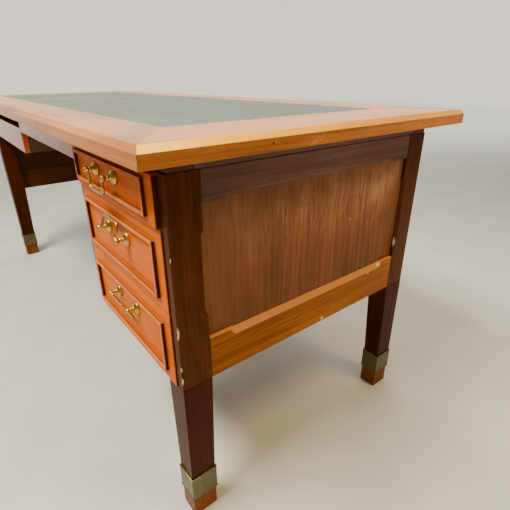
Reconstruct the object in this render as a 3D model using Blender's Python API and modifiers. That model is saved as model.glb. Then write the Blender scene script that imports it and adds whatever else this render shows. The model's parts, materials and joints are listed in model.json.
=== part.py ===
"""Writing desk with a leather-topped mitred top, one pedestal of three drawers, a shallow pen drawer, two
framed ends with stopped chamfers and four tapered legs with brass bands.

Units are metres, +Z is up and the drawer fronts face -Y. The origin is on the floor, under the middle of the top.
"""

import math

import bmesh
import bpy
from mathutils import Matrix, Vector

# ---- driving dimensions -------------------------------------------------------------------------------------
DESK_LENGTH = 1.850
DESK_DEPTH = 0.760
DESK_HEIGHT = 0.770
FIT_GAP = 0.0003  # between faces that touch

TOP_THICKNESS = 0.029
TOP_BEVEL_HEIGHT = 0.0095
TOP_BEVEL_INSET = 0.007
BORDER_FRONT = 0.100
BORDER_REAR = 0.122
BORDER_END = 0.144
LEATHER_THICKNESS = 0.002
LEATHER_DROP = 0.0004  # the leather lies this far under the border's surface

END_OVERHANG = 0.057
FRONT_OVERHANG = 0.055
REAR_OVERHANG = 0.046

SUBFRAME_HEIGHT = 0.021
SUBFRAME_WIDTH = 0.045
SUBFRAME_SETBACK = 0.005  # behind the front and rear faces; the ends are flush

LEG_HEIGHT = 0.338  # floor to the underside of the end frames
LEG_WIDTH = 0.054  # along X
LEG_DEPTH = 0.060  # along Y, and the width of the stiles above
LEG_TAPER_X = 0.009
LEG_TAPER_Y = 0.007
BAND_BOTTOM = 0.050
BAND_HEIGHT = 0.060
BAND_THICKNESS = 0.002

STILE_THICKNESS = 0.018
TOP_RAIL_HEIGHT = 0.051
BOTTOM_RAIL_HEIGHT = 0.087
PANEL_THICKNESS = 0.006
PANEL_SETBACK = 0.008
PANEL_TONGUE = 0.006
CHAMFER_FACE = 0.009  # width of the chamfers on the face of a piece
CHAMFER_EDGE = 0.009  # and on its edge
LOWER_CHAMFER_FACE = 0.015  # the lower rail's chamfer is taller
CHAMFER_STOP = 0.012  # length of the sloping end of a chamfer
CHAMFER_CLEAR_RAIL = 0.042  # plain length left at each end of a rail
CHAMFER_CLEAR_STILE = 0.042

PEDESTAL_WIDTH = 0.411
SIDE_THICKNESS = 0.018
BACK_THICKNESS = 0.009
BACK_INSET = 0.004
BOTTOM_THICKNESS = 0.010

FRONT_THICKNESS = 0.020
FRONT_PROUD = 0.003  # the drawer fronts stand this far out of the stiles
FRONT_SIDE_GAP = 0.001
FRONT_HEIGHTS = {"bottom": 0.147, "middle": 0.147}  # the top drawer takes what is left
DRAWER_GAP = 0.002
DRAWER_REAR_CLEARANCE = 0.088  # behind a closed drawer box
DRAWER_WALL = 0.010
DRAWER_SIDE_CLEARANCE = 0.0015
DRAWER_BASE_THICKNESS = 0.004
DRAWER_BASE_LIFT = 0.006
BOX_LOWER_GAP = 0.012  # from the front's lower edge to the box
BOX_UPPER_GAP = 0.016  # from the box to the front's upper edge
TOP_DRAWER_REST = 0.006  # the top drawer stands open by this much

MOULDING_WIDTH = 0.0075
MOULDING_PROUD = 0.0065
MOULDING_MARGIN = 0.023
TOP_MOULDING_MARGINS = (0.0155, 0.007)  # below and above, on the low top drawer

RUNNER_WIDTH = 0.012
RUNNER_HEIGHT = 0.008

HANDLE_SPACING = 0.088
HANDLE_RISES = {"bottom": 0.021, "middle": 0.016, "top": 0.0125}  # above the middle of each front
HANDLE_STANDOFF = 0.019  # from the front's face to the pivot
ROSETTE_RADIUS = 0.0133
ROSETTE_CLEARANCE = 0.0003  # to the moulding above it
POST_RADIUS = 0.0028
EYE_RADIUS = 0.0048
PIN_RADIUS = 0.0019
PIN_CLEARANCE = 0.0004
BAIL_DROP = 0.031
BAIL_CORNER = 0.009
FINIAL_RADIUS = 0.0029
BAIL_OPEN_ANGLES = {"bottom": -26.0, "middle": 198.0, "top": 0.0}  # degrees out and up from hanging

APRON_THICKNESS = 0.018
APRON_HEIGHT = 0.042
REAR_APRON_HEIGHT = 0.120
REAR_APRON_INSET = 0.005
APRON_LENGTH = 0.617  # from the pedestal to the pen drawer

PEN_FRONT_HEIGHT = 0.081
PEN_FRONT_THICKNESS = 0.018
PEN_SLOT = 0.030  # finger slot over the pen drawer's front
PEN_SIDE_GAP = 0.003
PEN_REAR_CLEARANCE = 0.188  # behind the closed pen drawer
PEN_BOX_HEIGHT = 0.048
PEN_WALL = 0.008
PEN_BASE = 0.005
PEN_RUNNER_WIDTH = 0.014
PEN_RUNNER_FOOT = 0.008

EDGE_ROUND = 0.0012

# ---- places that follow from them ---------------------------------------------------------------------------
HALF_LENGTH = DESK_LENGTH / 2
FRONT_Y = -DESK_DEPTH / 2 + FRONT_OVERHANG
REAR_Y = DESK_DEPTH / 2 - REAR_OVERHANG
RIGHT_X = HALF_LENGTH - END_OVERHANG
LEFT_X = -RIGHT_X
TOP_UNDERSIDE = DESK_HEIGHT - TOP_THICKNESS
FRAME_TOP = TOP_UNDERSIDE - SUBFRAME_HEIGHT
BOTTOM_RAIL_TOP = LEG_HEIGHT + BOTTOM_RAIL_HEIGHT
TOP_RAIL_BOTTOM = FRAME_TOP - TOP_RAIL_HEIGHT
PEDESTAL_LEFT = RIGHT_X - PEDESTAL_WIDTH
OPENING_LEFT = PEDESTAL_LEFT + SIDE_THICKNESS
OPENING_RIGHT = RIGHT_X - STILE_THICKNESS
FRONT_FACE_Y = FRONT_Y - FRONT_PROUD
FRONT_BACK_Y = FRONT_FACE_Y + FRONT_THICKNESS
PEN_RIGHT = PEDESTAL_LEFT - APRON_LENGTH - PEN_SIDE_GAP
PEN_LEFT = LEFT_X + LEG_WIDTH + PEN_SIDE_GAP
PEN_TOP = FRAME_TOP - PEN_SLOT
PEN_BOTTOM = PEN_TOP - PEN_FRONT_HEIGHT


def clear_scene():
    for old in list(bpy.data.objects):
        bpy.data.objects.remove(old, do_unlink=True)


clear_scene()
PARTS = bpy.data.collections.new("writing_desk")
CUTTERS = bpy.data.collections.new("cutters")
bpy.context.scene.collection.children.link(PARTS)
bpy.context.scene.collection.children.link(CUTTERS)


def material(name, colour, roughness, metallic=0.0):
    """A Principled material in one finish."""
    made = bpy.data.materials.new(name)
    made.use_nodes = True
    shader = made.node_tree.nodes["Principled BSDF"]
    shader.inputs["Base Color"].default_value = (*colour, 1.0)
    shader.inputs["Roughness"].default_value = roughness
    shader.inputs["Metallic"].default_value = metallic
    return made


BORDER_WOOD = material("border_wood", (0.50, 0.22, 0.07), 0.28)
CORE_WOOD = material("core_wood", (0.36, 0.22, 0.12), 0.6)
LEATHER = material("green_leather", (0.05, 0.10, 0.09), 0.35)
STILE_WOOD = material("stile_wood", (0.10, 0.035, 0.015), 0.35)
RAIL_WOOD = material("rail_wood", (0.30, 0.11, 0.03), 0.35)
PANEL_WOOD = material("panel_wood", (0.22, 0.09, 0.035), 0.4)
LEG_WOOD = material("leg_wood", (0.14, 0.035, 0.015), 0.35)
FRONT_WOOD = material("drawer_front_wood", (0.52, 0.16, 0.035), 0.28)
BOX_WOOD = material("drawer_box_wood", (0.55, 0.38, 0.20), 0.6)
BRASS = material("aged_brass", (0.45, 0.33, 0.14), 0.35, 1.0)


# ---- shape helpers ------------------------------------------------------------------------------------------
def add_object(name, mesh, finish, collection=PARTS):
    obj = bpy.data.objects.new(name, mesh)
    collection.objects.link(obj)
    if finish:
        mesh.materials.append(finish)
    return obj


def finished_mesh(shape, name):
    """The mesh of a shape, with its faces turned outwards."""
    shape.normal_update()
    bmesh.ops.recalc_face_normals(shape, faces=shape.faces)
    mesh = bpy.data.meshes.new(name)
    shape.to_mesh(mesh)
    shape.free()
    return mesh


def box_mesh(name, low, high):
    """A box between two corners, from a cube primitive."""
    low, high = Vector(low), Vector(high)
    shape = bmesh.new()
    bmesh.ops.create_cube(shape, size=1.0)
    bmesh.ops.scale(shape, vec=high - low, verts=shape.verts)
    bmesh.ops.translate(shape, vec=(low + high) / 2, verts=shape.verts)
    return finished_mesh(shape, name)


def box(name, low, high, finish, rounding=EDGE_ROUND):
    """A board with slightly rounded edges."""
    obj = add_object(name, box_mesh(name, low, high), finish)
    if rounding:
        round_edges(obj, rounding)
    return obj


def round_edges(obj, width):
    bevel = obj.modifiers.new("rounding", "BEVEL")
    bevel.width = width
    bevel.segments = 1
    bevel.limit_method = "ANGLE"
    bevel.angle_limit = math.radians(40)
    return bevel


def cutter(mesh):
    obj = add_object(mesh.name, mesh, None, CUTTERS)
    obj.hide_render = True
    obj.display_type = "WIRE"
    return obj


def cut(obj, tool, operation="DIFFERENCE"):
    boolean = obj.modifiers.new(operation.lower(), "BOOLEAN")
    boolean.operation = operation
    boolean.solver = "EXACT"
    boolean.object = tool


def box_cutter(name, low, high):
    return cutter(box_mesh(name, low, high))


def empty(name, place):
    obj = bpy.data.objects.new(name, None)
    obj.location = place
    PARTS.objects.link(obj)
    return obj


def hang_on(parent, *pieces):
    """Parents pieces that are already in place."""
    for piece in pieces:
        piece.parent = parent
        piece.matrix_parent_inverse = Matrix.Translation(parent.location).inverted()


def applied(obj):
    """The object's modifiers and curve made into a mesh of its own."""
    graph = bpy.context.evaluated_depsgraph_get()
    mesh = bpy.data.meshes.new_from_object(obj.evaluated_get(graph))
    shape = bmesh.new()
    shape.from_mesh(mesh)
    bmesh.ops.remove_doubles(shape, verts=shape.verts, dist=1e-6)
    shape.to_mesh(mesh)
    shape.free()
    solid = bpy.data.objects.new(obj.name + "_solid", mesh)
    solid.matrix_world = obj.matrix_world
    bpy.data.objects.remove(obj, do_unlink=True)
    return solid


# ---- the top ------------------------------------------------------------------------------------------------
def border_board(name, outer, inner, along):
    """One mitred board of the border: its outline tapers from the outer edge to the inner one, and the outer
    top edge is bevelled. The outline's points are (outer start, outer end, inner end, inner start)."""
    shape = bmesh.new()
    bmesh.ops.create_cube(shape, size=1.0)
    for vert in shape.verts:
        outline = outer if vert.co.y < 0 else inner
        vert.co.x, vert.co.y = outline[0] if vert.co.x < 0 else outline[1]
        vert.co.z = DESK_HEIGHT if vert.co.z > 0 else TOP_UNDERSIDE
    mesh = finished_mesh(shape, name)
    board = add_object(name, mesh, BORDER_WOOD)
    cut(board, bevel_cutter(name + "_bevel", outer, along))
    return board


def bevel_cutter(name, outer, along):
    """A long wedge over the outer top edge. Its low side lies on the edge face, TOP_BEVEL_HEIGHT down, and its
    high side on the top, TOP_BEVEL_INSET in."""
    start, end = Vector((*outer[0], 0)), Vector((*outer[1], 0))
    reach = 3 * TOP_BEVEL_HEIGHT
    run = (end - start).normalized()
    inwards = Vector((0, 0, 1)).cross(run)
    slope = Vector((TOP_BEVEL_INSET, TOP_BEVEL_HEIGHT)).normalized()
    low_edge = Vector((-slope.x * reach, DESK_HEIGHT - TOP_BEVEL_HEIGHT - slope.y * reach))
    high_edge = Vector((TOP_BEVEL_INSET + slope.x * reach, DESK_HEIGHT + slope.y * reach))
    far = Vector((-slope.y, slope.x)) * reach
    section = (low_edge, high_edge, high_edge + far, low_edge + far)
    shape = bmesh.new()
    bmesh.ops.create_cube(shape, size=1.0)
    corners = {(-1, -1): section[0], (1, -1): section[1], (1, 1): section[2], (-1, 1): section[3]}
    for vert in shape.verts:
        across, height = corners[(int(math.copysign(1, vert.co.y)), int(math.copysign(1, vert.co.z)))]
        base = start - run * along if vert.co.x < 0 else end + run * along
        place = base + inwards * across
        vert.co = (place.x, place.y, height)
    mesh = finished_mesh(shape, name)
    return cutter(mesh)


def make_top():
    """Four mitred border boards round a core board, with the leather laid on the core."""
    half_depth = DESK_DEPTH / 2
    outer = {
        "front_left": Vector((-HALF_LENGTH, -half_depth)),
        "front_right": Vector((HALF_LENGTH, -half_depth)),
        "rear_right": Vector((HALF_LENGTH, half_depth)),
        "rear_left": Vector((-HALF_LENGTH, half_depth)),
    }
    inner = {
        "front_left": Vector((-HALF_LENGTH + BORDER_END, -half_depth + BORDER_FRONT)),
        "front_right": Vector((HALF_LENGTH - BORDER_END, -half_depth + BORDER_FRONT)),
        "rear_right": Vector((HALF_LENGTH - BORDER_END, half_depth - BORDER_REAR)),
        "rear_left": Vector((-HALF_LENGTH + BORDER_END, half_depth - BORDER_REAR)),
    }
    sides = {
        "front": ("front_left", "front_right"),
        "right": ("front_right", "rear_right"),
        "rear": ("rear_right", "rear_left"),
        "left": ("rear_left", "front_left"),
    }
    for side, (first, last) in sides.items():
        run = (outer[last] - outer[first]).normalized()
        # A mitre face slides along the board by its share of the gap, so that neighbours stay clear.
        mitre_gap = run * FIT_GAP
        border_board(
            f"top_border_{side}",
            (outer[first] + mitre_gap, outer[last] - mitre_gap),
            (inner[first] + mitre_gap, inner[last] - mitre_gap),
            0.02,
        )
    low = inner["front_left"]
    high = inner["rear_right"]
    inset = Vector((FIT_GAP, FIT_GAP))
    leather_top = DESK_HEIGHT - LEATHER_DROP
    core_top = leather_top - LEATHER_THICKNESS - FIT_GAP
    box("top_core_board", (*(low + inset), TOP_UNDERSIDE), (*(high - inset), core_top), CORE_WOOD, 0)
    box(
        "leather_inset",
        (*(low + inset), core_top + FIT_GAP),
        (*(high - inset), leather_top),
        LEATHER,
        0,
    )


def make_subframe():
    """Four rails under the top, flush with the ends and set back at the front and rear."""
    left = LEFT_X
    right = RIGHT_X
    front = FRONT_Y + SUBFRAME_SETBACK
    rear = REAR_Y - SUBFRAME_SETBACK
    low = FRAME_TOP + FIT_GAP
    high = TOP_UNDERSIDE - FIT_GAP
    box("subframe_front", (left, front, low), (right, front + SUBFRAME_WIDTH, high), RAIL_WOOD)
    box("subframe_rear", (left, rear - SUBFRAME_WIDTH, low), (right, rear, high), RAIL_WOOD)
    inner_front = front + SUBFRAME_WIDTH + FIT_GAP
    inner_rear = rear - SUBFRAME_WIDTH - FIT_GAP
    box("subframe_left", (left, inner_front, low), (left + SUBFRAME_WIDTH, inner_rear, high), RAIL_WOOD)
    box("subframe_right", (right - SUBFRAME_WIDTH, inner_front, low), (right, inner_rear, high), RAIL_WOOD)


# ---- the ends -----------------------------------------------------------------------------------------------
def chamfer_cutter(name, start, end, face_normal, edge_normal, on_face):
    """A tapered bar lying aslant over an edge. Its cutting face is shorter than its outer face, which leaves a
    sloping stop at each end of the chamfer."""
    start, end = Vector(start), Vector(end)
    run = (end - start).normalized()
    slant = Vector(face_normal) / CHAMFER_EDGE + Vector(edge_normal) / on_face
    outwards = slant.normalized()
    across = run.cross(outwards)
    half = on_face + CHAMFER_EDGE
    depth = 1 / slant.length
    middle = (start + end) / 2
    length = (end - start).length
    slope = CHAMFER_STOP / depth
    shape = bmesh.new()
    bmesh.ops.create_cube(shape, size=2.0)
    for vert in shape.verts:
        height = -depth if vert.co.z < 0 else depth
        reach = length / 2 - CHAMFER_STOP + slope * (height + depth)
        vert.co = middle + run * reach * vert.co.x + across * half * vert.co.y + outwards * height
    mesh = finished_mesh(shape, name)
    return cutter(mesh)


def make_end(side):
    """A framed end: two uprights, two rails and a panel held in their grooves."""
    out = 1 if side == "right" else -1
    face = out * RIGHT_X
    inside = face - out * STILE_THICKNESS
    low_x, high_x = sorted((face, inside))
    front_inner = FRONT_Y + LEG_DEPTH
    rear_inner = REAR_Y - LEG_DEPTH
    if side == "right":
        uprights = (
            box(f"{side}_front_stile", (low_x, FRONT_Y, LEG_HEIGHT), (high_x, front_inner, FRAME_TOP), STILE_WOOD),
            box(f"{side}_rear_stile", (low_x, rear_inner, LEG_HEIGHT), (high_x, REAR_Y, FRAME_TOP), STILE_WOOD),
        )
    else:
        uprights = (make_leg(side, "front", FRAME_TOP), make_leg(side, "rear", FRAME_TOP))
    rail_front = front_inner + FIT_GAP
    rail_rear = rear_inner - FIT_GAP
    top_rail = box(
        f"{side}_top_rail",
        (low_x, rail_front, TOP_RAIL_BOTTOM),
        (high_x, rail_rear, FRAME_TOP),
        STILE_WOOD,
    )
    bottom_rail = box(
        f"{side}_bottom_rail",
        (low_x, rail_front, LEG_HEIGHT),
        (high_x, rail_rear, BOTTOM_RAIL_TOP),
        RAIL_WOOD,
    )
    panel_x = sorted((face - out * PANEL_SETBACK, face - out * (PANEL_SETBACK + PANEL_THICKNESS)))
    panel_low = Vector((panel_x[0], front_inner - PANEL_TONGUE, BOTTOM_RAIL_TOP - PANEL_TONGUE))
    panel_high = Vector((panel_x[1], rear_inner + PANEL_TONGUE, TOP_RAIL_BOTTOM + PANEL_TONGUE))
    box(f"{side}_end_panel", panel_low, panel_high, PANEL_WOOD, 0)
    clearance = Vector((FIT_GAP, FIT_GAP, FIT_GAP))
    groove = box_cutter(f"{side}_panel_groove", panel_low - clearance, panel_high + clearance)
    for piece in (*uprights, top_rail, bottom_rail):
        cut(piece, groove)
    outward = (out, 0, 0)
    edges = {
        "front_upright": (uprights[0], "z", front_inner, (0, 1, 0)),
        "rear_upright": (uprights[1], "z", rear_inner, (0, -1, 0)),
        "top_rail": (top_rail, "y", TOP_RAIL_BOTTOM, (0, 0, -1)),
        "bottom_rail": (bottom_rail, "y", BOTTOM_RAIL_TOP, (0, 0, 1)),
    }
    for label, (piece, along, level, edge_normal) in edges.items():
        if along == "z":
            start = (face, level, BOTTOM_RAIL_TOP + CHAMFER_CLEAR_STILE)
            end = (face, level, TOP_RAIL_BOTTOM - CHAMFER_CLEAR_STILE)
        else:
            start = (face, front_inner + CHAMFER_CLEAR_RAIL, level)
            end = (face, rear_inner - CHAMFER_CLEAR_RAIL, level)
        on_face = LOWER_CHAMFER_FACE if label == "bottom_rail" else CHAMFER_FACE
        cut(piece, chamfer_cutter(f"{side}_{label}_chamfer", start, end, outward, edge_normal, on_face))


def make_leg(side, end, top):
    """A leg that is square above the end frame's underside and tapers on its two inner faces below it, down to
    the band. Both outer faces stay upright."""
    out = 1 if side == "right" else -1
    back = 1 if end == "rear" else -1
    face_x = out * RIGHT_X
    face_y = REAR_Y if end == "rear" else FRONT_Y
    shape = bmesh.new()
    bmesh.ops.create_cube(shape, size=1.0)
    bmesh.ops.bisect_plane(
        shape, geom=shape.verts[:] + shape.edges[:] + shape.faces[:], plane_co=(0, 0, 0), plane_no=(0, 0, 1)
    )
    levels = {-0.5: 0.0, 0.0: BAND_BOTTOM + BAND_HEIGHT, 0.5: min(top, LEG_HEIGHT)}
    for vert in shape.verts:
        level = round(vert.co.z, 3)
        taper = 0 if level == 0.5 else 1
        width = LEG_WIDTH - LEG_TAPER_X * taper
        depth = LEG_DEPTH - LEG_TAPER_Y * taper
        x = face_x if vert.co.x * out > 0 else face_x - out * width
        y = face_y if vert.co.y * back > 0 else face_y - back * depth
        vert.co = (x, y, levels[level])
    if top > LEG_HEIGHT:
        cap = [f for f in shape.faces if min(v.co.z for v in f.verts) > LEG_HEIGHT - 1e-5]
        grown = bmesh.ops.extrude_face_region(shape, geom=cap)
        bmesh.ops.delete(shape, geom=cap, context="FACES")
        raised = [g for g in grown["geom"] if isinstance(g, bmesh.types.BMVert)]
        bmesh.ops.translate(shape, verts=raised, vec=(0, 0, top - LEG_HEIGHT))
    bmesh.ops.recalc_face_normals(shape, faces=shape.faces)
    name = f"{side}_{end}_leg"
    mesh = bpy.data.meshes.new(name)
    shape.to_mesh(mesh)
    shape.free()
    return add_object(name, mesh, LEG_WOOD)


def make_band(side, end):
    """The brass band round the foot of a leg."""
    out = 1 if side == "right" else -1
    back = 1 if end == "rear" else -1
    face_x = out * RIGHT_X
    face_y = REAR_Y if end == "rear" else FRONT_Y
    xs = sorted((face_x, face_x - out * (LEG_WIDTH - LEG_TAPER_X)))
    ys = sorted((face_y, face_y - back * (LEG_DEPTH - LEG_TAPER_Y)))
    grow = Vector((FIT_GAP, FIT_GAP, 0))
    wall = Vector((BAND_THICKNESS, BAND_THICKNESS, 0))
    low = Vector((xs[0], ys[0], BAND_BOTTOM)) - grow
    high = Vector((xs[1], ys[1], BAND_BOTTOM + BAND_HEIGHT - FIT_GAP)) + grow
    name = f"{side}_{end}_band"
    band = box(name, low - wall, high + wall, BRASS, 0)
    through = Vector((0, 0, BAND_HEIGHT))
    cut(band, box_cutter(name + "_hole", low - through, high + through))


# ---- the pedestal -------------------------------------------------------------------------------------------
def make_pedestal():
    """The inner side, back and bottom boards, and the runners that carry the upper two drawers."""
    box(
        "pedestal_inner_side",
        (PEDESTAL_LEFT, FRONT_Y, LEG_HEIGHT),
        (OPENING_LEFT, REAR_Y, FRAME_TOP),
        STILE_WOOD,
    )
    left = OPENING_LEFT + FIT_GAP
    right = OPENING_RIGHT - FIT_GAP
    back_rear = REAR_Y - BACK_INSET
    back_front = back_rear - BACK_THICKNESS
    box("pedestal_back", (left, back_front, LEG_HEIGHT), (right, back_rear, FRAME_TOP), PANEL_WOOD, 0)
    box(
        "pedestal_bottom",
        (left, FRONT_BACK_Y + DRAWER_GAP, LEG_HEIGHT),
        (right, back_front - FIT_GAP, LEG_HEIGHT + BOTTOM_THICKNESS),
        BOX_WOOD,
        0,
    )
    runner_front = FRONT_BACK_Y + DRAWER_GAP
    runner_rear = back_front - FIT_GAP
    for level in ("middle", "top"):
        top = front_levels()[level][0] + BOX_LOWER_GAP - FIT_GAP
        for side, (low_x, high_x) in {
            "left": (left, left + RUNNER_WIDTH),
            "right": (right - RUNNER_WIDTH, right),
        }.items():
            box(
                f"runner_{level}_{side}",
                (low_x, runner_front, top - RUNNER_HEIGHT),
                (high_x, runner_rear, top),
                BOX_WOOD,
                0,
            )


def front_levels():
    """The lower and upper edge of each drawer front."""
    levels = {}
    low = LEG_HEIGHT + FIT_GAP
    for level in ("bottom", "middle"):
        levels[level] = (low, low + FRONT_HEIGHTS[level])
        low += FRONT_HEIGHTS[level] + DRAWER_GAP
    levels["top"] = (low, FRAME_TOP - DRAWER_GAP)
    return levels


def make_drawer(level):
    """A drawer: its front with a raised moulding round it, its box and its swinging handle."""
    low, high = front_levels()[level]
    left = OPENING_LEFT + FRONT_SIDE_GAP
    right = OPENING_RIGHT - FRONT_SIDE_GAP
    out = TOP_DRAWER_REST if level == "top" else 0.0
    face = FRONT_FACE_Y - out
    back = FRONT_BACK_Y - out
    slide = empty(f"{level}_drawer_slide", ((left + right) / 2, face, (low + high) / 2))

    front = box(f"{level}_drawer_front", (left, face, low), (right, back, high), FRONT_WOOD)
    margins = TOP_MOULDING_MARGINS if level == "top" else (MOULDING_MARGIN, MOULDING_MARGIN)
    ring_low = Vector((left + MOULDING_MARGIN, face, low + margins[0]))
    ring_high = Vector((right - MOULDING_MARGIN, face, high - margins[1]))
    inner = Vector((MOULDING_WIDTH, 0, MOULDING_WIDTH))
    ring = box(
        f"{level}_drawer_moulding",
        ring_low - Vector((0, MOULDING_PROUD, 0)),
        ring_high - Vector((0, FIT_GAP, 0)),
        FRONT_WOOD,
        0,
    )
    through = Vector((0, MOULDING_PROUD, 0))
    cut(ring, box_cutter(f"{level}_moulding_hole", ring_low + inner - 2 * through, ring_high - inner + through))

    box_left = OPENING_LEFT + FIT_GAP + DRAWER_SIDE_CLEARANCE
    box_right = OPENING_RIGHT - FIT_GAP - DRAWER_SIDE_CLEARANCE
    box_low = low + BOX_LOWER_GAP
    box_high = high - BOX_UPPER_GAP
    box_front = back + FIT_GAP
    box_rear = REAR_Y - BACK_INSET - BACK_THICKNESS - DRAWER_REAR_CLEARANCE - out
    walls = box(f"{level}_drawer_box", (box_left, box_front, box_low), (box_right, box_rear, box_high), BOX_WOOD, 0)
    inside_low = Vector((box_left + DRAWER_WALL, box_front - DRAWER_WALL, box_low - DRAWER_WALL))
    inside_high = Vector((box_right - DRAWER_WALL, box_rear - DRAWER_WALL, box_high + DRAWER_WALL))
    cut(walls, box_cutter(f"{level}_inside", inside_low, inside_high))
    base_low = box_low + DRAWER_BASE_LIFT
    base = box(
        f"{level}_drawer_base",
        (inside_low.x + FIT_GAP, box_front, base_low),
        (inside_high.x - FIT_GAP, inside_high.y - FIT_GAP, base_low + DRAWER_BASE_THICKNESS),
        BOX_WOOD,
        0,
    )
    rosette_top = ring_high.z - MOULDING_WIDTH - ROSETTE_CLEARANCE
    handle_z = min((low + high) / 2 + HANDLE_RISES[level], rosette_top - ROSETTE_RADIUS)
    middle_x = (left + right) / 2
    posts = [
        make_post(f"{level}_post_{side}", middle_x + sign * HANDLE_SPACING / 2, face, handle_z)
        for side, sign in {"left": -1, "right": 1}.items()
    ]
    pivot = Vector((middle_x, face - HANDLE_STANDOFF, handle_z))
    bail = make_bail(f"{level}_bail", pivot, BAIL_OPEN_ANGLES[level])
    hang_on(slide, front, ring, walls, base, *posts)
    bail.parent = slide
    bail.location = pivot - slide.location


# ---- the handles --------------------------------------------------------------------------------------------
def make_post(name, x, face, z):
    """A turned rosette and post with a round eye. Its profile is spun round +Z, then laid along -Y, and the eye
    is drilled for the bail's pin."""
    profile = [
        (0.0, EYE_RADIUS + HANDLE_STANDOFF),
        *(
            (EYE_RADIUS * math.sin(a), HANDLE_STANDOFF + EYE_RADIUS * math.cos(a))
            for a in (math.radians(d) for d in (30, 60, 90, 120))
        ),
        (POST_RADIUS, HANDLE_STANDOFF - EYE_RADIUS),
        (POST_RADIUS, 0.44 * HANDLE_STANDOFF),
        (0.40 * ROSETTE_RADIUS, 0.30 * HANDLE_STANDOFF),
        (0.72 * ROSETTE_RADIUS, 0.17 * HANDLE_STANDOFF),
        (ROSETTE_RADIUS, 0.08 * HANDLE_STANDOFF),
        (ROSETTE_RADIUS, FIT_GAP),
        (0.0, FIT_GAP),
    ]
    mesh = bpy.data.meshes.new(name)
    edges = [(i, i + 1) for i in range(len(profile) - 1)]
    mesh.from_pydata([(r, 0, h) for r, h in profile], edges, [])
    turned = add_object(name, mesh, BRASS)
    screw = turned.modifiers.new("turn", "SCREW")
    screw.steps = 20
    screw.render_steps = 20
    screw.use_merge_vertices = True
    screw.merge_threshold = 1e-6
    shape = bmesh.new()
    bmesh.ops.create_cone(
        shape,
        cap_ends=True,
        segments=16,
        radius1=PIN_RADIUS + PIN_CLEARANCE,
        radius2=PIN_RADIUS + PIN_CLEARANCE,
        depth=4 * EYE_RADIUS,
        matrix=Matrix.Translation((0, 0, HANDLE_STANDOFF)) @ Matrix.Rotation(math.pi / 2, 4, "Y"),
    )
    eye = finished_mesh(shape, name + "_eye")
    drill = cutter(eye)
    cut(turned, drill)
    for piece in (turned, drill):
        piece.rotation_euler = (math.pi / 2, 0, 0)
        piece.location = (x, face, z)
    return turned


def make_bail(name, pivot, raised):
    """The swinging bail: a bent rod whose two ends pass through the eyes and end in small balls. It is drawn
    hanging, with its origin on the pivot axis, and is then turned up by the angle given."""
    end = HANDLE_SPACING / 2 + EYE_RADIUS + FINIAL_RADIUS
    arm = HANDLE_SPACING / 2 - EYE_RADIUS - 2 * PIN_RADIUS
    bend = 2.4 * PIN_RADIUS
    points = [(-end, 0), (-(arm + bend), 0)]
    points += arc((-(arm + bend), -bend), bend, 90, 0, 3)
    points += arc((-arm + BAIL_CORNER, -BAIL_DROP + BAIL_CORNER), BAIL_CORNER, 180, 270, 4)
    points += [(-x, z) for x, z in reversed(points)]
    spline_data = bpy.data.curves.new(name, "CURVE")
    spline_data.dimensions = "3D"
    spline_data.bevel_depth = PIN_RADIUS
    spline_data.bevel_resolution = 2
    spline_data.use_fill_caps = True
    spline = spline_data.splines.new("POLY")
    spline.points.add(len(points) - 1)
    for point, (x, z) in zip(spline.points, points):
        point.co = (x, 0, z, 1)
    rod = bpy.data.objects.new(name, spline_data)
    PARTS.objects.link(rod)
    bpy.context.view_layer.update()
    solid = applied(rod)
    solid.name = name
    PARTS.objects.link(solid)
    solid.data.materials.clear()
    solid.data.materials.append(BRASS)
    for side in (-1, 1):
        shape = bmesh.new()
        bmesh.ops.create_uvsphere(
            shape,
            u_segments=12,
            v_segments=8,
            radius=FINIAL_RADIUS,
            matrix=Matrix.Translation((side * end, 0, 0)),
        )
        finial = cutter(finished_mesh(shape, f"{name}_finial_{'left' if side < 0 else 'right'}"))
        finial.parent = solid
        cut(solid, finial, "UNION")
    solid.rotation_euler = (-math.radians(raised), 0, 0)
    solid.location = pivot
    return solid


def arc(centre, radius, start, end, steps):
    """Points on an arc in the XZ plane, from one angle in degrees to another."""
    angles = [math.radians(start + (end - start) * i / steps) for i in range(steps + 1)]
    return [(centre[0] + radius * math.cos(a), centre[1] + radius * math.sin(a)) for a in angles]


# ---- the kneehole -------------------------------------------------------------------------------------------
def make_aprons():
    front_right = PEDESTAL_LEFT - FIT_GAP
    box(
        "front_apron",
        (PEDESTAL_LEFT - APRON_LENGTH, FRONT_Y, FRAME_TOP - APRON_HEIGHT),
        (front_right, FRONT_Y + APRON_THICKNESS, FRAME_TOP),
        RAIL_WOOD,
    )
    rear = REAR_Y - REAR_APRON_INSET
    box(
        "rear_apron",
        (LEFT_X + LEG_WIDTH + FIT_GAP, rear - APRON_THICKNESS, FRAME_TOP - REAR_APRON_HEIGHT),
        (front_right, rear, FRAME_TOP),
        STILE_WOOD,
    )


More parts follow.
